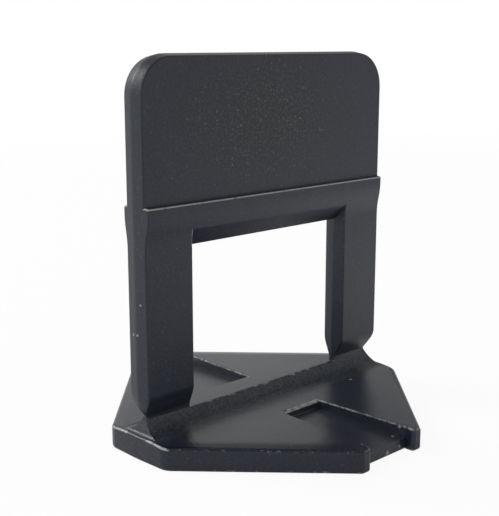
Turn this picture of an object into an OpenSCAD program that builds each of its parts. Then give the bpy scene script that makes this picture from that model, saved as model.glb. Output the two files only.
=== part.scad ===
// Snap-off tile levelling clip, moulded in one piece from black plastic.
// The base lies under two tiles, the upright stands in the joint between them,
// and a wedge is pushed through the window to press the tiles level.
// X runs along the ridge, Y through the upright's thickness, Z up.
// The origin is the centre of the base's underside.

/* [Upright] */
// Overall height from the underside of the base to the top of the head
clip_h = 45; // [42:0.5:60]
// Width of the upright at its parting plane
clip_w = 40; // [36:0.5:40]
// Thickness of the legs, which is the joint they leave between the tiles
clip_t = 3.2; // [2:0.1:4]
// Step of the head's faces behind the legs' faces
head_back = 0.1; // [0:0.05:0.4]
// Radius of the two top corners
head_r = 4.5; // [2:0.5:8]
// Slope of the outer rim, from the parting plane in to each face
rim_inset = 0.3; // [0.1:0.05:0.5]

/* [Ledge] */
// Height of the ledge's edge across both faces
ledge_z = 28.7; // [28.4:0.1:34]
// How far the ledge stands out from the legs' faces
ledge_out = 0.56; // [0.2:0.02:0.8]
// Fall of the narrow shelf from the head's face to the ledge's edge
ledge_shelf = 0.1; // [0.05:0.05:0.6]
// Straight land under the ledge
ledge_land = 0.7; // [0.5:0.1:2]
// Height of the S-curve that runs back to the leg's face
ledge_fall = 4.2; // [2:0.1:5]

/* [Wedge window] */
// Clear width of the window at the parting plane
window_w = 25.2; // [20:0.2:30]
// Height of the window's top edge at the parting plane
window_z = 23.5; // [16:0.1:24]
// Rise of the window's top, from the edge at the parting plane up to each face
window_rise = 1.9; // [0.5:0.1:2.4]
// Slope of the window's sides, from the parting plane out to each face
window_flare = 0.4; // [0.1:0.05:0.7]

/* [Snap-off neck] */
// Thickness of the neck at the bottom of its groove, where it breaks
neck_t = 0.75; // [0.5:0.05:1.2]
// Rise of the groove above the ridge's top in the window
neck_rise = 0.6; // [0.3:0.1:0.8]
// Inset of the neck from each side of the upright
neck_inset = 0.95; // [0.6:0.05:1.2]
// Height of the taper from the leg's full thickness to the groove
taper_h = 2; // [1.6:0.1:4]
// Radius where the leg's face turns into the taper
taper_r = 2.5; // [0.5:0.1:3.5]

/* [Ridge] */
// Height of the ridge above the base, in the window
ridge_h = 1.5; // [1:0.1:1.8]
// Width of the ridge's top in the window
ridge_top = 0.9; // [0.8:0.1:1.4]
// Width over the ridge's hollow flanks where they run out on the base
ridge_foot = 6.3; // [5.1:0.1:7]
// Step of the ridge's ends behind the ends of the base
ridge_back = 0.6; // [0.4:0.05:1]
// Fillet between the ridge's ends and the base
ridge_end_r = 0.4; // [0.1:0.1:0.5]

/* [Base] */
// Length of the base along the ridge
base_l = 40.8; // [40.4:0.2:46]
// Width of the base from finger tip to finger tip
base_w = 41; // [36:0.5:46]
// Thickness of the base
base_t = 2.85; // [2.2:0.05:4]
// Length of the straight end at each end of the ridge
end_w = 9.6; // [6:0.2:14]
// Width over the two fingers at their tips
tip_w = 10.2; // [10:0.2:16]
// Radius of the four corners beside each straight end
end_r = 2.2; // [0.5:0.1:3]
// Radius of the finger tips
tip_r = 0.5; // [0.2:0.05:0.6]
// Slope of the straight ends, from the parting plane in to their corners
end_inset = 0.15; // [0.05:0.05:0.3]

/* [Notches] */
// Width of the notch at its inner wall
notch_w = 6.2; // [4:0.2:7.4]
// Width of the notch at its open mouth
notch_mouth = 7.5; // [6.5:0.1:7.6]
// Distance of the notch's inner wall from the parting plane
notch_y = 6.4; // [4:0.2:10]
// Thickness left under the notch
notch_floor = 1.55; // [0.8:0.05:2]
// Distance of the floor's edge behind the finger tips
floor_back = 1.2; // [0.7:0.1:2]

/* [Hidden] */
$fn = 96;
// Overlap that lets a cutter clear the face it opens through
clear = 1;
// Overlap that makes an arc cross the edge it blends into
graze = 0.002;
// Levels of the ridge's top, the neck's groove, the legs and the ledge's curve
ridge_z = base_t + ridge_h;
neck_z = ridge_z + neck_rise;
leg_z = neck_z + taper_h;
land_z = ledge_z - ledge_land;
fall_z = land_z - ledge_fall;
fall_mid = (land_z + fall_z) / 2;
// Radius of the two equal arcs that make the S-curve
fall_r = (pow(ledge_fall, 2) + pow(ledge_out, 2)) / (4 * ledge_out);
// Half thickness of the legs, the ledge and the head
face_y = clip_t / 2;
ledge_y = face_y + ledge_out;
head_y = face_y - head_back;
// Slopes across the thickness
rim_slope = rim_inset / face_y;
window_slope = window_flare / face_y;
roof_slope = window_rise / face_y;
// Radius of the ridge's hollow flanks, from the base up to the top's edges
flank_reach = (ridge_foot - ridge_top) / 2;
flank_r = (pow(flank_reach, 2) + pow(ridge_h, 2)) / (2 * ridge_h);
// Half length of the ridge's top, a little inside the neck it carries
ridge_x = clip_w / 2 - neck_inset - 0.1;
// Radius and top of the curve that brings each side in to the neck
side_r = 5 * neck_inset;
side_z = neck_z + 3 * neck_inset;

function unit(v) = v / norm(v);
function before(p, i) = p[(i + len(p) - 1) % len(p)];
function after(p, i) = p[(i + 1) % len(p)];

// Waste outside an arc of radius r at the corner q between the points p and s
module corner_waste(p, q, s, r) {
    u = unit(p - q);
    v = unit(s - q);
    half = acos(u * v) / 2;
    reach = r / tan(half);
    difference() {
        polygon([q + u * reach, q - unit(u + v) * r, q + v * reach]);
        translate(q + unit(u + v) * r / sin(half)) circle(r + graze);
    }
}

// Outline with an arc at each corner that is given a radius
module rounded(points, radii) {
    difference() {
        polygon(points);
        for (i = [0 : len(points) - 1])
            if (radii[i] > 0)
                corner_waste(before(points, i), points[i], after(points, i), radii[i]);
    }
}

// Runs a section drawn in Y and Z along X
module along_x(length) {
    rotate([90, 0, 90]) linear_extrude(length, center = true) children();
}

// Runs an outline drawn in X and Z along Y
module along_y(length) {
    rotate([90, 0, 0]) linear_extrude(length, center = true) children();
}

// Disc with the rim's slopes, which rounds the upright's outline at one end of its width
module rim_disc(side, z, r) {
    y = ledge_y + clear;
    in = rim_slope * y;
    translate([side * (clip_w / 2 - r), 0, z]) rotate([90, 0, 0])
        rotate_extrude() polygon([[0, -y], [r - in, -y], [r, 0], [r - in, y], [0, y]]);
}

// Outline of the upright, its rim sloping in from the parting plane to both faces
module rim() {
    x = clip_w / 2;
    y = ledge_y + clear;
    in = rim_slope * y;
    translate([0, 0, side_z]) linear_extrude(clip_h - head_r - side_z)
        polygon([[-x, 0], [in - x, -y], [x - in, -y], [x, 0], [x - in, y], [in - x, y]]);
    translate([0, 0, ridge_z]) linear_extrude(side_z - ridge_z)
        square([clip_w - 2 * side_r, 2 * y], center = true);
    along_x(clip_w - 2 * head_r)
        polygon([[-y, ledge_z], [y, ledge_z], [y, clip_h - in], [0, clip_h], [-y, clip_h - in]]);
    for (side = [-1, 1]) {
        rim_disc(side, clip_h - head_r, head_r);
        rim_disc(side, side_z, side_r);
    }
}

// One half of the upright's section: neck, taper, leg face, S-curve, ledge and head
module half_section() {
    rounded(
        [
            [0, ridge_z], [neck_t / 2, ridge_z], [neck_t / 2, neck_z],
            [face_y, leg_z], [face_y, ledge_z], [0, ledge_z]
        ],
        [0, 0, 0, taper_r, 0, 0]
    );
    translate([0, land_z]) square([head_y, clip_h - land_z]);
    polygon([
        [0, land_z], [ledge_y, land_z], [ledge_y, ledge_z],
        [head_y, ledge_z + ledge_shelf], [0, ledge_z + ledge_shelf]
    ]);
    intersection() {
        translate([0, fall_mid]) square([ledge_y, land_z - fall_mid]);
        translate([ledge_y - fall_r, land_z]) circle(fall_r);
    }
    difference() {
        translate([0, fall_z]) square([ledge_y, fall_mid - fall_z]);
        translate([face_y + fall_r, fall_z]) circle(fall_r);
    }
}

// Opening for the wedge over the ridge's top, narrowest at the parting plane
module window() {
    x = window_w / 2;
    y = ledge_y + clear;
    out = window_slope * y;
    top = window_z + roof_slope * y;
    intersection() {
        translate([0, 0, ridge_z]) linear_extrude(clip_h)
            polygon([[-x, 0], [-x - out, -y], [x + out, -y], [x, 0], [x + out, y], [-x - out, y]]);
        along_x(clip_w)
            polygon([[-y, ridge_z], [y, ridge_z], [y, top], [0, window_z], [-y, top]]);
    }
}

module upright() {
    intersection() {
        rim();
        along_x(clip_w + clear) {
            half_section();
            mirror([1, 0]) half_section();
        }
    }
}

// One half of the ridge's section up to the neck's groove, its flank one hollow arc
module hollow_flank() {
    foot = ridge_foot / 2;
    difference() {
        translate([0, base_t - clear]) square([foot, neck_z - base_t + clear]);
        translate([foot, base_t + flank_r]) circle(flank_r + graze);
    }
}

// One end of the ridge up to the neck's groove, leaning in from its foot, with a fillet
module leaning_end() {
    foot = base_l / 2 - end_inset - ridge_back;
    lean = atan((foot - ridge_x) / (neck_z - base_t));
    rise = ridge_end_r * (1 - sin(lean));
    centre = foot + rise / cos(lean);
    polygon([[0, base_t - clear], [foot, base_t - clear], [foot, base_t], [ridge_x, neck_z], [0, neck_z]]);
    difference() {
        polygon([
            [ridge_x, base_t - clear],
            [centre, base_t - clear],
            [centre, base_t],
            [centre - ridge_end_r * cos(lean), base_t + rise],
            [ridge_x, base_t + rise]
        ]);
        translate([centre, base_t + ridge_end_r]) circle(ridge_end_r + graze);
    }
}

// Ridge under the neck
module ridge() {
    intersection() {
        along_x(base_l) for (side = [0, 1]) mirror([side, 0]) hollow_flank();
        along_y(base_w) for (side = [0, 1]) mirror([side, 0]) leaning_end();
    }
}

// One quarter of the base's outline, from the parting plane to the notch
function quarter() = [
    [base_l / 2 - end_inset, end_w / 2],
    [tip_w / 2, base_w / 2],
    [notch_mouth / 2, base_w / 2],
    [notch_mouth / 2, base_w / 2 - floor_back]
];
function flipped(p, sx, sy) = [for (q = p) [sx * q[0], sy * q[1]]];
function reversed(p) = [for (i = [len(p) - 1 : -1 : 0]) p[i]];

module base() {
    radii = [end_r, tip_r, tip_r, 0];
    difference() {
        linear_extrude(base_t) rounded(
            concat(
                [[base_l / 2, 0]], quarter(), reversed(flipped(quarter(), -1, 1)),
                [[-base_l / 2, 0]], flipped(quarter(), -1, -1), reversed(flipped(quarter(), 1, -1))
            ),
            concat([0], radii, reversed(radii), [0], radii, reversed(radii))
        );
        for (side = [0, 1]) mirror([0, side, 0]) translate([0, 0, notch_floor]) linear_extrude(base_t)
            polygon([
                [-notch_w / 2, notch_y], [notch_w / 2, notch_y],
                [notch_mouth / 2, base_w / 2], [-notch_mouth / 2, base_w / 2]
            ]);
    }
}

module levelling_clip() {
    color("#2d2f31") {
        base();
        difference() {
            union() {
                ridge();
                upright();
            }
            window();
        }
    }
}

levelling_clip();
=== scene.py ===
import math

import bmesh
import bpy
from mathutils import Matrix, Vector


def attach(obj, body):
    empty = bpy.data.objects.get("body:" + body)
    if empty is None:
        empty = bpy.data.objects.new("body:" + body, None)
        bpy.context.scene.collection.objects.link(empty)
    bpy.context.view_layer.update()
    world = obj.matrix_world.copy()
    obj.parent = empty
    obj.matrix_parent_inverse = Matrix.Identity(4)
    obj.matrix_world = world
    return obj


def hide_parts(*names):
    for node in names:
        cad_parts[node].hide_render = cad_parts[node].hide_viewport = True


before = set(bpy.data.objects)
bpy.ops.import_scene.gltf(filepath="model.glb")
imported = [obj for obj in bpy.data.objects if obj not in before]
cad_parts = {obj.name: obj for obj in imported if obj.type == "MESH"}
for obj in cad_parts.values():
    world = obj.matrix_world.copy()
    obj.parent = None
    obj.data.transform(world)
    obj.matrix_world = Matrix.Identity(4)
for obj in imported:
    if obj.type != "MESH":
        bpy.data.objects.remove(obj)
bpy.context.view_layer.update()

MM = 0.001

# Sizes of the moulding in millimetres, as the solid has them
BASE_TOP = 2.85
NOTCH_FLOOR = 1.55
NOTCH_INNER = 6.4
NOTCH_MOUTH = 19.3
RIDGE_TOP = 4.35
NECK = 4.95
WINDOW_TOP = 23.5
LEDGE = 28.7
# Limits that tell its places apart, also in millimetres: just inside the base's ends and the
# notches' wide mouths, short of the finger tips and the head's round corners, and clear of the
# parting plane
BASE_END = 20.2
NOTCH_SIDE = 3.74
FINGER_TIPS = 19.6
HEAD_CORNERS = 40
OFF_PARTING = 0.3
# Heights or places that differ by less than this count as the same
SLACK = 0.02
# Degrees of fold beyond which an edge counts as sharp
SHARP_FOLD = 60
# Corners of one of the base's four diagonal sides, its direction and the way out of it
DIAGONAL = (Vector((20.25, 4.8)), Vector((5.1, 20.5)))
ALONG = (DIAGONAL[1] - DIAGONAL[0]).normalized()
OUTWARD = Vector((ALONG.y, -ALONG.x))
# The base's top falls gently towards its diagonal sides, in strips
ROLL_WIDTH = 2.2
ROLL_SLOPE = 0.15
ROLL_BLEND = 1.2
ROLL_STRIPS = (0.5, 1.0, 1.3, 1.6, 1.9, ROLL_WIDTH)
# The notches' floors rise gently from their mouths to their inner walls
NOTCH_RISE = 0.3
# Nicks and pale spots: place and radius, and how far their outlines stray
NICKS = (
    (-19.89, 0.6, 14.46, 0.24),
    (-19.96, -0.21, 14.54, 0.2),
    (-19.86, -0.75, 18.03, 0.18),
    (11.77, -4.22, 2.85, 0.28),
    (0.53, -19.3, 0.56, 0.32),
    (2.76, -18.23, 1.55, 0.26),
    (3.67, -18.5, 2.6, 0.24),
    (2.73, -19.3, 0.65, 0.2),
)
NICK_STRAY = 0.4
# Bright pools on the floor: place and reach in metres, and gain
FLOOR_POOLS = (((0.075, -0.052, 0), 0.055, 1.5), ((-0.15, 0.06, 0), 0.13, 1.1))


def linear(colour):
    """An sRGB hex colour as linear red, green, blue and alpha."""
    parts = [int(colour[i : i + 2], 16) / 255 for i in (1, 3, 5)]
    return [c / 12.92 if c <= 0.04045 else ((c + 0.055) / 1.055) ** 2.4 for c in parts] + [1.0]


def node(tree, kind, settings=None, links=None):
    """Adds a node, sets its properties and sockets, and links its inputs."""
    made = tree.nodes.new(kind)
    for name, value in (settings or {}).items():
        if isinstance(name, str) and name in made.bl_rna.properties:
            setattr(made, name, value)
        else:
            made.inputs[name].default_value = value
    for name, source in (links or {}).items():
        tree.links.new(source, made.inputs[name])
    return made


def near(a, b, slack=SLACK):
    return abs(a - b) < slack


def pick_edges(piece, wanted):
    """Selects the edges that pass a test of their two ends and their fold in degrees."""
    bpy.ops.mesh.select_all(action="DESELECT")
    bpy.ops.mesh.select_mode(type="EDGE")
    mesh = bmesh.from_edit_mesh(piece.data)
    count = 0
    for edge in mesh.edges:
        if len(edge.link_faces) != 2:
            continue
        ends = [v.co / MM for v in edge.verts]
        fold = math.degrees(edge.calc_face_angle_signed(0.0))
        if wanted(ends, fold):
            edge.select_set(True)
            count += 1
    bmesh.update_edit_mesh(piece.data)
    return count


def behind_diagonal(p):
    """Distance of a point on the base from the nearest diagonal side."""
    return abs((Vector((abs(p.x), abs(p.y))) - DIAGONAL[0]).dot(OUTWARD))


def roll_drop(depth):
    """Drop of the base's top at a distance from a diagonal side: level, a short curve, a slope."""
    reach = max(0.0, ROLL_WIDTH - depth)
    if reach < ROLL_BLEND:
        return ROLL_SLOPE * reach**2 / (2 * ROLL_BLEND)
    return ROLL_SLOPE * (reach - ROLL_BLEND / 2)


def flat_at(ends, z):
    return all(near(p.z, z) for p in ends)


def on_base_top(ends):
    return all(BASE_TOP - roll_drop(0) - 0.01 < p.z < BASE_TOP + 0.01 for p in ends)


def in_notch(p):
    """True on the notch's three walls."""
    return abs(p.x) < NOTCH_SIDE and NOTCH_INNER - SLACK < abs(p.y) < NOTCH_MOUTH + SLACK


def at_inner_wall(ends):
    return all(near(abs(p.y), NOTCH_INNER) for p in ends)


def off_parting(ends):
    return all(abs(p.y) > OFF_PARTING for p in ends)


def base_rim(ends, fold):
    return on_base_top(ends) and fold > SHARP_FOLD and not all(map(in_notch, ends))


def base_foot(ends, fold):
    return flat_at(ends, 0) and fold > SHARP_FOLD


def notch_lip(ends, fold):
    """Top edges of the notches' two sides."""
    side = all(map(in_notch, ends)) and not at_inner_wall(ends)
    return on_base_top(ends) and fold > SHARP_FOLD and side


def notch_inner_lip(ends, fold):
    return on_base_top(ends) and fold > SHARP_FOLD and at_inner_wall(ends)


def notch_root(ends, fold):
    """Foot of the notches' inner walls."""
    at_foot = flat_at(ends, NOTCH_FLOOR + NOTCH_RISE) and at_inner_wall(ends)
    return at_foot and fold < -SHARP_FOLD


def notch_mouth(ends, fold):
    return flat_at(ends, NOTCH_FLOOR) and fold > SHARP_FOLD


def ridge_top(ends, fold):
    return flat_at(ends, RIDGE_TOP) and fold > 40 and off_parting(ends)


def ledge_edge(ends, fold):
    return flat_at(ends, LEDGE) and fold > 30


def upright_edge(ends, fold):
    """Edges of the faces against the rim and against the window's sides."""
    above = all(p.z > NECK - 0.05 for p in ends)
    return above and off_parting(ends) and fold > 50 and not flat_at(ends, LEDGE)


def roof_edge(ends, fold):
    """Edges where the window's roof meets the two faces."""
    over = all(p.z > WINDOW_TOP - 1 and abs(p.x) < 13.5 and abs(p.y) > 1 for p in ends)
    return over and 18 < fold < 50


def parting_edge(ends, fold):
    return all(near(p.y, 0) and p.z > NECK + 0.3 for p in ends) and fold > 15


# How far the mould and wear ease each kind of edge
WIDEST_EASE = 0.6
EASED_EDGES = (
    (base_rim, 0.34),
    (base_foot, 0.3),
    (notch_lip, 0.2),
    (notch_inner_lip, 0.55),
    (notch_mouth, 0.2),
    (notch_root, 0.12),
    (ridge_top, 0.18),
    (ledge_edge, 0.13),
    (upright_edge, 0.16),
    (roof_edge, 0.2),
    (parting_edge, 0.25),
)


def rub_and_highlight_amount(p, normal):
    """How pale an eased edge is at this place, from 0 to 1: partly real wear, partly painted
    highlight.
    """
    # The ledge's edge: a painted highlight line, strongest on the left and fading to the right
    if near(p.z, LEDGE, 0.2):
        return 1.0 - 0.008 * p.x
    # The ridge's top edges: painted highlight on the front edge and on the right part
    if near(p.z, RIDGE_TOP, 0.2):
        return 0.5 if p.y < 0 or p.x > 3 else 0.0
    if p.z > HEAD_CORNERS:
        return 0.1
    # The window's upper left corner in front: a painted highlight streak
    if -13.4 < p.x < -12.3 and p.y < 0 and WINDOW_TOP - 0.2 < p.z < WINDOW_TOP + 2.4:
        return 0.8
    # The base's crest, pale from wear and from painted highlight: most at its ends, with a gap
    # across
    #     the ridge's ends that stands in for the ridge mirrored in the rounded edge, then at the
    #     notches and the finger tips
    if BASE_TOP - 0.65 < p.z < BASE_TOP + 0.1 and 0.2 < normal.z < 0.93:
        if abs(p.x) > 19.9:
            return 1.0 if abs(p.y) > 1 else 0.3
        if abs(p.x) < 3.3 and abs(p.y) < NOTCH_INNER + 0.5:
            return 0.8
        return 0.6 if abs(p.x) < 4.2 or abs(p.y) > FINGER_TIPS else 0.4
    return 0.38 if p.z < 0.3 else 0.0


def mark_faces(clip):
    """Writes on every face how pale its wear and painted highlight make it, and how much of its
    grain is the coarse one.
    """
    rub_and_highlight = clip.data.attributes.new("rub_and_highlight", "FLOAT", "FACE")
    coarse = clip.data.attributes.new("coarse", "FLOAT", "FACE")
    for face in clip.data.polygons:
        p = face.center / MM
        if face.material_index == 1:
            rub_and_highlight.data[face.index].value = rub_and_highlight_amount(p, face.normal)
        notch_wall = in_notch(p) and p.z < BASE_TOP and abs(face.normal.z) < 0.9
        coarse.data[face.index].value = 0.4 if notch_wall else 0.0
        face.material_index = 0


def merged_copy(solid):
    """A copy of the solid's mesh with its triangles merged to whole faces, left in edit mode."""
    bpy.ops.object.select_all(action="DESELECT")
    clip = bpy.data.objects.new("moulded_clip", solid.data.copy())
    bpy.context.scene.collection.objects.link(clip)
    bpy.context.view_layer.objects.active = clip
    clip.select_set(True)
    # Two empty slots: the second one marks the eased faces until mark_faces has read it
    clip.data.materials.clear()
    clip.data.materials.append(None)
    clip.data.materials.append(None)
    bpy.ops.object.mode_set(mode="EDIT")
    bpy.ops.mesh.select_all(action="SELECT")
    bpy.ops.mesh.customdata_custom_splitnormals_clear()
    bpy.ops.mesh.remove_doubles(threshold=0.002 * MM)
    bpy.ops.mesh.dissolve_limited(angle_limit=math.radians(0.7))
    return clip


def roll_base(clip):
    """Parts the base's top in strips beside its diagonal sides and lowers them to a gentle fall."""
    for side_x in (-1, 1):
        for side_y in (-1, 1):
            for depth in ROLL_STRIPS:
                bpy.ops.mesh.select_mode(type="FACE")
                bpy.ops.mesh.select_all(action="DESELECT")
                for face in bmesh.from_edit_mesh(clip.data).faces:
                    level = near(face.calc_center_median().z / MM, BASE_TOP)
                    face.select_set(face.normal.z > 0.999 and level)
                point = DIAGONAL[0] - OUTWARD * depth
                bpy.ops.mesh.bisect(
                    plane_co=(side_x * point.x * MM, side_y * point.y * MM, 0),
                    plane_no=(side_x * OUTWARD.x, side_y * OUTWARD.y, 0),
                    threshold=0.003 * MM,
                )
    mesh = bmesh.from_edit_mesh(clip.data)
    for vert in mesh.verts:
        if near(vert.co.z / MM, BASE_TOP):
            vert.co.z -= roll_drop(behind_diagonal(vert.co / MM)) * MM
    bmesh.update_edit_mesh(clip.data)


def raise_notches(clip):
    """Lifts the inner ends of the notches' floors, which then slope gently to their mouths."""
    mesh = bmesh.from_edit_mesh(clip.data)
    for vert in mesh.verts:
        inwards = NOTCH_MOUTH - abs(vert.co.y / MM)
        if near(vert.co.z / MM, NOTCH_FLOOR) and inwards > 0:
            vert.co.z += NOTCH_RISE * inwards / (NOTCH_MOUTH - NOTCH_INNER) * MM
    bmesh.update_edit_mesh(clip.data)


def ease_edges(clip):
    """Rounds every kind of edge by its own amount, with the new faces in the second slot."""
    for edges, radius in EASED_EDGES:
        if pick_edges(clip, edges):
            bpy.ops.transform.edge_bevelweight(value=radius / WIDEST_EASE)
    bpy.ops.object.mode_set(mode="OBJECT")
    ease = clip.modifiers.new("eased_edges", "BEVEL")
    ease.width = WIDEST_EASE * MM
    ease.segments = 4
    ease.limit_method = "WEIGHT"
    ease.use_clamp_overlap = False
    ease.offset_type = "OFFSET"
    ease.material = 1
    bpy.ops.object.modifier_apply(modifier=ease.name)
    bpy.ops.object.mode_set(mode="EDIT")
    bpy.ops.mesh.select_all(action="SELECT")
    bpy.ops.mesh.dissolve_degenerate(threshold=0.001 * MM)
    bpy.ops.object.mode_set(mode="OBJECT")


def moulded_clip(solid):
    """The whole clip: a merged copy of the solid with its gentle slopes and its eased edges."""
    clip = merged_copy(solid)
    roll_base(clip)
    raise_notches(clip)
    ease_edges(clip)
    mark_faces(clip)
    bpy.ops.object.shade_smooth_by_angle(angle=math.radians(32))
    level = clip.modifiers.new("flat_faces", "WEIGHTED_NORMAL")
    level.keep_sharp = True
    bpy.ops.object.modifier_apply(modifier=level.name)
    return clip


def black_polypropylene():
    """Black polypropylene, injection moulded in spark-eroded steel: a blue-black body under a satin
    skin that mirrors at a low angle, with a fine grain, pale specks of regrind, and edges pale
    grey from wear and from painted highlights."""
    made = bpy.data.materials.new("black_polypropylene")
    made.use_nodes = True
    tree = made.node_tree
    tree.nodes.clear()
    place = node(tree, "ShaderNodeTexCoord").outputs["Object"]
    axes = node(tree, "ShaderNodeSeparateXYZ", None, {0: place})
    along = node(tree, "ShaderNodeMath", {"operation": "ABSOLUTE"}, {0: axes.outputs["X"]})
    off = node(tree, "ShaderNodeMath", {"operation": "ABSOLUTE"}, {0: axes.outputs["Y"]})
    # Spark-eroded grain, taken as a tenth of a millimetre: too fine to show, so drawn at 0.28 mm
    grain = node(
        tree,
        "ShaderNodeTexNoise",
        {"Scale": 1 / (0.28 * MM), "Detail": 3.0, "Roughness": 0.65},
        {"Vector": place},
    )
    # Coarser grain from the mould's deepest steel, on the ridge with its foot and on the notches'
    # walls: its real size isn't known, and it is drawn at 0.32 mm so that it shows
    lumps = node(
        tree,
        "ShaderNodeTexNoise",
        {"Scale": 1 / (0.32 * MM), "Detail": 2.0, "Roughness": 0.6},
        {"Vector": place},
    )
    foot = node(
        tree,
        "ShaderNodeMapRange",
        {"interpolation_type": "SMOOTHSTEP", "From Min": 4.6 * MM, "From Max": 2.2 * MM},
        {"Value": off.outputs[0]},
    )
    under = node(
        tree,
        "ShaderNodeMapRange",
        {"From Min": 4.36 * MM, "From Max": 4.2 * MM},
        {"Value": axes.outputs["Z"]},
    )
    inside = node(
        tree,
        "ShaderNodeMath",
        {"operation": "LESS_THAN", 1: BASE_END * MM},
        {0: along.outputs[0]},
    )
    ridge = node(
        tree,
        "ShaderNodeMath",
        {"operation": "MULTIPLY"},
        {0: foot.outputs[0], 1: under.outputs[0]},
    )
    ridge_only = node(
        tree,
        "ShaderNodeMath",
        {"operation": "MULTIPLY"},
        {0: ridge.outputs[0], 1: inside.outputs[0]},
    )
    walls = node(tree, "ShaderNodeAttribute", {"attribute_name": "coarse"})
    deep = node(
        tree,
        "ShaderNodeMath",
        {"operation": "MAXIMUM"},
        {0: ridge_only.outputs[0], 1: walls.outputs["Fac"]},
    )
    # Flow of the melt, patches of about 7 mm
    flow = node(
        tree, "ShaderNodeTexNoise", {"Scale": 1 / (7 * MM), "Detail": 4.0}, {"Vector": place}
    )
    # Specks of regrind, in most cells but strong in few: their real size isn't known, and the
    # cells are drawn at 0.45 mm so that they show
    cells = node(tree, "ShaderNodeTexVoronoi", {"Scale": 1 / (0.45 * MM)}, {"Vector": place})
    lot = node(tree, "ShaderNodeSeparateColor", None, {"Color": cells.outputs["Color"]})
    drawn = node(
        tree,
        "ShaderNodeMapRange",
        {"From Min": 0.3, "From Max": 1.0},
        {"Value": lot.outputs["Red"]},
    )
    faint = node(tree, "ShaderNodeMath", {"operation": "POWER", 1: 3.0}, {0: drawn.outputs[0]})
    dot = node(
        tree,
        "ShaderNodeMapRange",
        {"From Min": 0.32, "From Max": 0.1},
        {"Value": cells.outputs["Distance"]},
    )
    speck = node(
        tree,
        "ShaderNodeMath",
        {"operation": "MULTIPLY"},
        {0: faint.outputs[0], 1: dot.outputs[0]},
    )
    # Stipple in an oval in the middle of the head, where the specks are strongest: its real size
    # isn't known, and it is drawn at 0.3 mm so that it shows
    oval = node(
        tree, "ShaderNodeVectorMath", {"operation": "MULTIPLY", 1: (0.6, 0, 1)}, {0: place}
    )
    away = node(
        tree,
        "ShaderNodeVectorMath",
        {"operation": "DISTANCE", 1: (-0.9 * MM, 0, 37.5 * MM)},
        {0: oval.outputs[0]},
    )
    patch = node(
        tree,
        "ShaderNodeMapRange",
        {"interpolation_type": "SMOOTHSTEP", "From Min": 11 * MM, "From Max": 2 * MM},
        {"Value": away.outputs["Value"]},
    )
    stipple = node(
        tree, "ShaderNodeTexNoise", {"Scale": 1 / (0.3 * MM), "Detail": 2.0}, {"Vector": place}
    )
    pits = node(
        tree,
        "ShaderNodeMapRange",
        {"From Min": 0.48, "From Max": 0.72},
        {"Value": stipple.outputs["Fac"]},
    )
    stippled = node(
        tree,
        "ShaderNodeMix",
        {"data_type": "RGBA", 6: linear("#060a11"), 7: linear("#363c46")},
        {0: pits.outputs[0]},
    )
    strength = node(
        tree, "ShaderNodeMapRange", {"To Min": 0.13, "To Max": 0.4}, {"Value": patch.outputs[0]}
    )
    pale = node(
        tree,
        "ShaderNodeMath",
        {"operation": "MULTIPLY"},
        {0: speck.outputs[0], 1: strength.outputs[0]},
    )
    # Edges pale from wear and from painted highlight, where the edge's own amount and a noise of
    #     about a millimetre add up
    edge = node(tree, "ShaderNodeAttribute", {"attribute_name": "rub_and_highlight"})
    breakup = node(
        tree,
        "ShaderNodeTexNoise",
        {"Scale": 1 / (0.9 * MM), "Detail": 4.0, "Roughness": 0.7},
        {"Vector": place},
    )
    sum_up = node(
        tree,
        "ShaderNodeMath",
        {"operation": "MULTIPLY_ADD", 1: 0.55},
        {0: edge.outputs["Fac"], 2: breakup.outputs["Fac"]},
    )
    rub_and_highlight = node(
        tree,
        "ShaderNodeMapRange",
        {"From Min": 0.78, "From Max": 0.98, "To Max": 0.9},
        {"Value": sum_up.outputs[0]},
    )
    marks_and_highlights = node(
        tree,
        "ShaderNodeMath",
        {"operation": "MAXIMUM"},
        {0: rub_and_highlight.outputs[0], 1: pale.outputs[0]},
    )
    # Nicks, their outlines broken up by the same noise
    ragged = node(
        tree,
        "ShaderNodeVectorMath",
        {"operation": "MULTIPLY_ADD", 1: [NICK_STRAY * MM] * 3},
        {0: breakup.outputs["Color"], 2: place},
    )
    for x, y, z, radius in NICKS:
        centre = [(c + NICK_STRAY / 2) * MM for c in (x, y, z)]
        gap = node(
            tree,
            "ShaderNodeVectorMath",
            {"operation": "DISTANCE", 1: centre},
            {0: ragged.outputs[0]},
        )
        nick = node(
            tree,
            "ShaderNodeMapRange",
            {"From Min": radius * MM, "From Max": 0.4 * radius * MM, "To Max": 0.7},
            {"Value": gap.outputs["Value"]},
        )
        marks_and_highlights = node(
            tree,
            "ShaderNodeMath",
            {"operation": "MAXIMUM"},
            {0: marks_and_highlights.outputs[0], 1: nick.outputs[0]},
        )
    # Tone of the body: the grain over the flow, with the stipple on the head
    fine = node(
        tree,
        "ShaderNodeMapRange",
        {"From Min": 0.33, "From Max": 0.67},
        {"Value": grain.outputs["Fac"]},
    )
    both = node(
        tree,
        "ShaderNodeMix",
        {"data_type": "FLOAT", 0: 0.6},
        {2: flow.outputs["Fac"], 3: fine.outputs[0]},
    )
    smooth = node(
        tree,
        "ShaderNodeMix",
        {"data_type": "RGBA", 6: linear("#060a12"), 7: linear("#1b2436")},
        {0: both.outputs[0]},
    )
    plain = node(
        tree,
        "ShaderNodeMix",
        {"data_type": "RGBA"},
        {0: patch.outputs[0], 6: smooth.outputs[2], 7: stippled.outputs[2]},
    )
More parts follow.
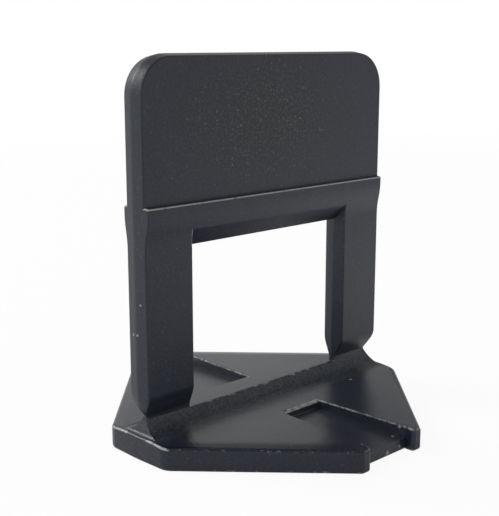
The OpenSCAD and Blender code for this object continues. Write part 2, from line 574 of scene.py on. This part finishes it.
    # A lighter long oval along the foot of the ridge in front: painted light, standing in for
    # brighter
    #     mirrored light on the base's top
    low = node(
        tree, "ShaderNodeVectorMath", {"operation": "MULTIPLY", 1: (0.45, 1, 1)}, {0: place}
    )
    reach = node(
        tree,
        "ShaderNodeVectorMath",
        {"operation": "DISTANCE", 1: (-2.5 * MM, -4.5 * MM, BASE_TOP * MM)},
        {0: low.outputs[0]},
    )
    painted_lift = node(
        tree,
        "ShaderNodeMapRange",
        {
            "interpolation_type": "SMOOTHSTEP",
            "From Min": 7 * MM,
            "From Max": 2 * MM,
            "To Max": 0.6,
        },
        {"Value": reach.outputs["Value"]},
    )
    lifted_tone = node(
        tree,
        "ShaderNodeMix",
        {"data_type": "RGBA", 7: linear("#2c3036")},
        {0: painted_lift.outputs[0], 6: plain.outputs[2]},
    )
    # The lumps, lighter, where the grain is coarse
    crest = node(
        tree,
        "ShaderNodeMapRange",
        {"From Min": 0.36, "From Max": 0.72},
        {"Value": lumps.outputs["Fac"]},
    )
    lumpy = node(
        tree,
        "ShaderNodeMix",
        {"data_type": "RGBA", 6: linear("#13181f"), 7: linear("#3b414a")},
        {0: crest.outputs[0]},
    )
    body = node(
        tree,
        "ShaderNodeMix",
        {"data_type": "RGBA"},
        {0: deep.outputs[0], 6: lifted_tone.outputs[2], 7: lumpy.outputs[2]},
    )
    # Dark parting line down the two ends of the base
    thin = node(
        tree,
        "ShaderNodeMapRange",
        {"From Min": 0.14 * MM, "From Max": 0.05 * MM},
        {"Value": off.outputs[0]},
    )
    ends = node(
        tree,
        "ShaderNodeMath",
        {"operation": "GREATER_THAN", 1: BASE_END * MM},
        {0: along.outputs[0]},
    )
    seam = node(
        tree,
        "ShaderNodeMath",
        {"operation": "MULTIPLY"},
        {0: thin.outputs[0], 1: ends.outputs[0]},
    )
    seamed = node(
        tree,
        "ShaderNodeMix",
        {"data_type": "RGBA", 7: linear("#030405")},
        {0: seam.outputs[0], 6: body.outputs[2]},
    )
    # Pale grey where marked: specks, nicks, wear, and the painted highlights on the edges
    colour = node(
        tree,
        "ShaderNodeMix",
        {"data_type": "RGBA", 7: linear("#97989a")},
        {0: marks_and_highlights.outputs[0], 6: seamed.outputs[2]},
    )
    # The base comes off a smoother plate of the mould than the upright
    plate = node(
        tree,
        "ShaderNodeMapRange",
        {"From Min": 3 * MM, "From Max": 6 * MM, "To Min": 0.2, "To Max": 0.38},
        {"Value": axes.outputs["Z"]},
    )
    satin = node(
        tree,
        "ShaderNodeMath",
        {"operation": "MULTIPLY_ADD", 1: 0.08},
        {0: flow.outputs["Fac"], 2: plate.outputs[0]},
    )
    gloss = node(
        tree,
        "ShaderNodeMix",
        {"data_type": "FLOAT", 3: 0.36},
        {0: deep.outputs[0], 2: satin.outputs[0]},
    )
    # Slight waves where the melt has shrunk, which bend the mirrored shapes, under the grain
    waves = node(
        tree,
        "ShaderNodeBump",
        {"Strength": 1.0, "Distance": 0.06 * MM},
        {"Height": flow.outputs["Fac"]},
    )
    height = node(
        tree,
        "ShaderNodeMix",
        {"data_type": "FLOAT"},
        {0: deep.outputs[0], 2: grain.outputs["Fac"], 3: lumps.outputs["Fac"]},
    )
    relief = node(
        tree,
        "ShaderNodeBump",
        {"Strength": 0.6, "Distance": 0.05 * MM},
        {"Height": height.outputs[0], "Normal": waves.outputs["Normal"]},
    )
    skin = node(
        tree,
        "ShaderNodeBsdfPrincipled",
        {
            "IOR": 1.49,
            "Specular IOR Level": 0.5,
            "Sheen Weight": 0.04,
            "Sheen Roughness": 0.4,
            "Sheen Tint": linear("#fff4e4"),
        },
        {
            "Base Color": colour.outputs[2],
            "Roughness": gloss.outputs[0],
            "Normal": relief.outputs["Normal"],
        },
    )
    node(tree, "ShaderNodeOutputMaterial", None, {"Surface": skin.outputs["BSDF"]})
    return made


def pale_floor():
    """White paper that ends softly 0.2 to 0.5 m out, so that it runs into the white behind."""
    bpy.ops.object.select_all(action="DESELECT")
    bpy.ops.mesh.primitive_circle_add(
        vertices=96, radius=0.6, fill_type="NGON", location=(0, 0, 0)
    )
    floor = bpy.context.object
    floor.name = "studio_floor"
    made = bpy.data.materials.new("white_paper")
    made.use_nodes = True
    tree = made.node_tree
    tree.nodes.clear()
    place = node(tree, "ShaderNodeTexCoord").outputs["Object"]
    radius = node(tree, "ShaderNodeVectorMath", {"operation": "LENGTH"}, {0: place})
    fade = node(
        tree,
        "ShaderNodeMapRange",
        {"interpolation_type": "SMOOTHSTEP", "From Min": 0.2, "From Max": 0.5},
        {"Value": radius.outputs["Value"]},
    )
    paper = node(
        tree, "ShaderNodeBsdfPrincipled", {"Base Color": linear("#ffffff"), "Roughness": 0.9}
    )
    # Painted glow: emission on the paper, brighter towards the camera, with a dim lane on the near
    #     side, a bright pool in front on the right and a wider one on the left
    view = node(tree, "ShaderNodeLightPath")
    share = node(
        tree,
        "ShaderNodeMapRange",
        {"To Min": 0.5, "To Max": 0.92},
        {"Value": view.outputs["Is Camera Ray"]},
    )
    across = node(
        tree, "ShaderNodeVectorMath", {"operation": "DOT_PRODUCT", 1: (0.72, -0.7, 0)}, {0: place}
    )
    aside = node(tree, "ShaderNodeMath", {"operation": "ABSOLUTE"}, {0: across.outputs["Value"]})
    lane = node(
        tree,
        "ShaderNodeMapRange",
        {"From Min": 0.01, "From Max": 0.06},
        {"Value": aside.outputs[0]},
    )
    depth = node(
        tree, "ShaderNodeVectorMath", {"operation": "DOT_PRODUCT", 1: (0.7, 0.72, 0)}, {0: place}
    )
    rear = node(
        tree,
        "ShaderNodeMapRange",
        {"From Min": -0.02, "From Max": 0.02},
        {"Value": depth.outputs["Value"]},
    )
    open_floor = node(
        tree,
        "ShaderNodeMath",
        {"operation": "MAXIMUM"},
        {0: lane.outputs[0], 1: rear.outputs[0]},
    )
    lit = node(
        tree,
        "ShaderNodeMapRange",
        {"To Min": 0.58, "To Max": 0.82},
        {"Value": open_floor.outputs[0]},
    )
    for centre, reach, gain in FLOOR_POOLS:
        off = node(
            tree, "ShaderNodeVectorMath", {"operation": "DISTANCE", 1: centre}, {0: place}
        )
        pool = node(
            tree,
            "ShaderNodeMapRange",
            {
                "interpolation_type": "SMOOTHSTEP",
                "From Min": 0.25 * reach,
                "From Max": reach,
                "To Min": gain,
                "To Max": 0.0,
            },
            {"Value": off.outputs["Value"]},
        )
        lit = node(
            tree, "ShaderNodeMath", {"operation": "ADD"}, {0: lit.outputs[0], 1: pool.outputs[0]}
        )
    bright = node(
        tree,
        "ShaderNodeMix",
        {"data_type": "FLOAT", 3: 1.0},
        {0: view.outputs["Is Camera Ray"], 2: lit.outputs[0]},
    )
    glow = node(
        tree,
        "ShaderNodeEmission",
        {"Color": linear("#ffffff")},
        {"Strength": bright.outputs[0]},
    )
    paper_and_glow = node(
        tree,
        "ShaderNodeMixShader",
        None,
        {0: share.outputs[0], 1: paper.outputs[0], 2: glow.outputs[0]},
    )
    nothing = node(tree, "ShaderNodeBsdfTransparent")
    both = node(
        tree,
        "ShaderNodeMixShader",
        None,
        {0: fade.outputs[0], 1: paper_and_glow.outputs[0], 2: nothing.outputs[0]},
    )
    node(tree, "ShaderNodeOutputMaterial", None, {"Surface": both.outputs[0]})
    floor.data.materials.append(made)


def studio_air():
    """Even white light from all round, with a white ground behind the object."""
    world = bpy.data.worlds.new("studio")
    bpy.context.scene.world = world
    world.use_nodes = True
    tree = world.node_tree
    tree.nodes.clear()
    path = node(tree, "ShaderNodeLightPath")
    # Brighter round the horizon than overhead
    sky = node(tree, "ShaderNodeTexCoord").outputs["Generated"]
    way = node(tree, "ShaderNodeSeparateXYZ", None, {0: sky})
    glow = node(
        tree,
        "ShaderNodeMapRange",
        {
            "interpolation_type": "SMOOTHSTEP",
            "From Min": 0.3,
            "From Max": 0.75,
            "To Min": 0.76,
            "To Max": 0.4,
        },
        {"Value": way.outputs["Z"]},
    )
    # A darker patch low behind on the right
    spot = node(
        tree,
        "ShaderNodeVectorMath",
        {"operation": "DOT_PRODUCT", 1: (0.878, 0.336, 0.342)},
        {0: sky},
    )
    shade = node(
        tree,
        "ShaderNodeMapRange",
        {
            "interpolation_type": "SMOOTHSTEP",
            "From Min": 0.927,
            "From Max": 0.956,
            "To Min": 1.0,
            "To Max": 0.5,
        },
        {"Value": spot.outputs["Value"]},
    )
    dimmed = node(
        tree,
        "ShaderNodeMath",
        {"operation": "MULTIPLY"},
        {0: glow.outputs[0], 1: shade.outputs[0]},
    )
    around = node(
        tree,
        "ShaderNodeBackground",
        {"Color": linear("#ffffff")},
        {"Strength": dimmed.outputs[0]},
    )
    behind = node(
        tree, "ShaderNodeBackground", {"Color": linear("#ffffff"), "Strength": 1.0}
    )
    both = node(
        tree,
        "ShaderNodeMixShader",
        None,
        {0: path.outputs["Is Camera Ray"], 1: around.outputs[0], 2: behind.outputs[0]},
    )
    node(tree, "ShaderNodeOutputWorld", None, {"Surface": both.outputs[0]})


def soft_light(name, place, aim, size, power):
    """A round soft lamp turned to what it lights, in metres and watts."""
    lamp = bpy.data.lights.new(name, "AREA")
    lamp.shape = "DISK"
    lamp.size = size
    lamp.energy = power
    made = bpy.data.objects.new(name, lamp)
    made.location = place
    made.rotation_euler = (Vector(aim) - Vector(place)).to_track_quat("-Z", "Y").to_euler()
    bpy.context.scene.collection.objects.link(made)


def photo_camera():
    """The camera as fitted to the photograph's edges: pixels, degrees and millimetres."""
    focal_pixels, frame_pixels, sensor_side = 1005.49, 516, 36.0
    azimuth, height = math.radians(-44.075), math.radians(12.09)
    distance, aim_height, aim_left = 123.224, 20.255, 1.861
    lens = bpy.data.cameras.new("camera")
    lens.sensor_fit = "AUTO"
    lens.sensor_width = sensor_side
    lens.lens = focal_pixels / frame_pixels * sensor_side
    lens.clip_start = 0.005
    lens.clip_end = 100.0
    camera = bpy.data.objects.new("camera", lens)
    level = math.cos(height)
    back = Vector((math.sin(azimuth) * level, -math.cos(azimuth) * level, math.sin(height)))
    right = Vector((math.cos(azimuth), math.sin(azimuth), 0))
    aim = (Vector((0, 0, aim_height)) - aim_left * right) * MM
    camera.location = aim + back * distance * MM
    camera.rotation_euler = (-back).to_track_quat("-Z", "Y").to_euler()
    bpy.context.scene.collection.objects.link(camera)
    bpy.context.scene.camera = camera


photo_camera()
clip = moulded_clip(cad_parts["levelling_clip"])
clip.data.materials.clear()
clip.data.materials.append(black_polypropylene())
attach(clip, "root")
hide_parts("levelling_clip")
pale_floor()

studio_air()
soft_light("overhead", place=(-0.58, 0.2, 0.5), aim=(0, 0, 0.02), size=0.8, power=1.6)
soft_light("behind", place=(-0.3, 0.58, 0.46), aim=(0, 0, 0.03), size=0.35, power=2.2)
bpy.context.scene.view_settings.view_transform = "Standard"
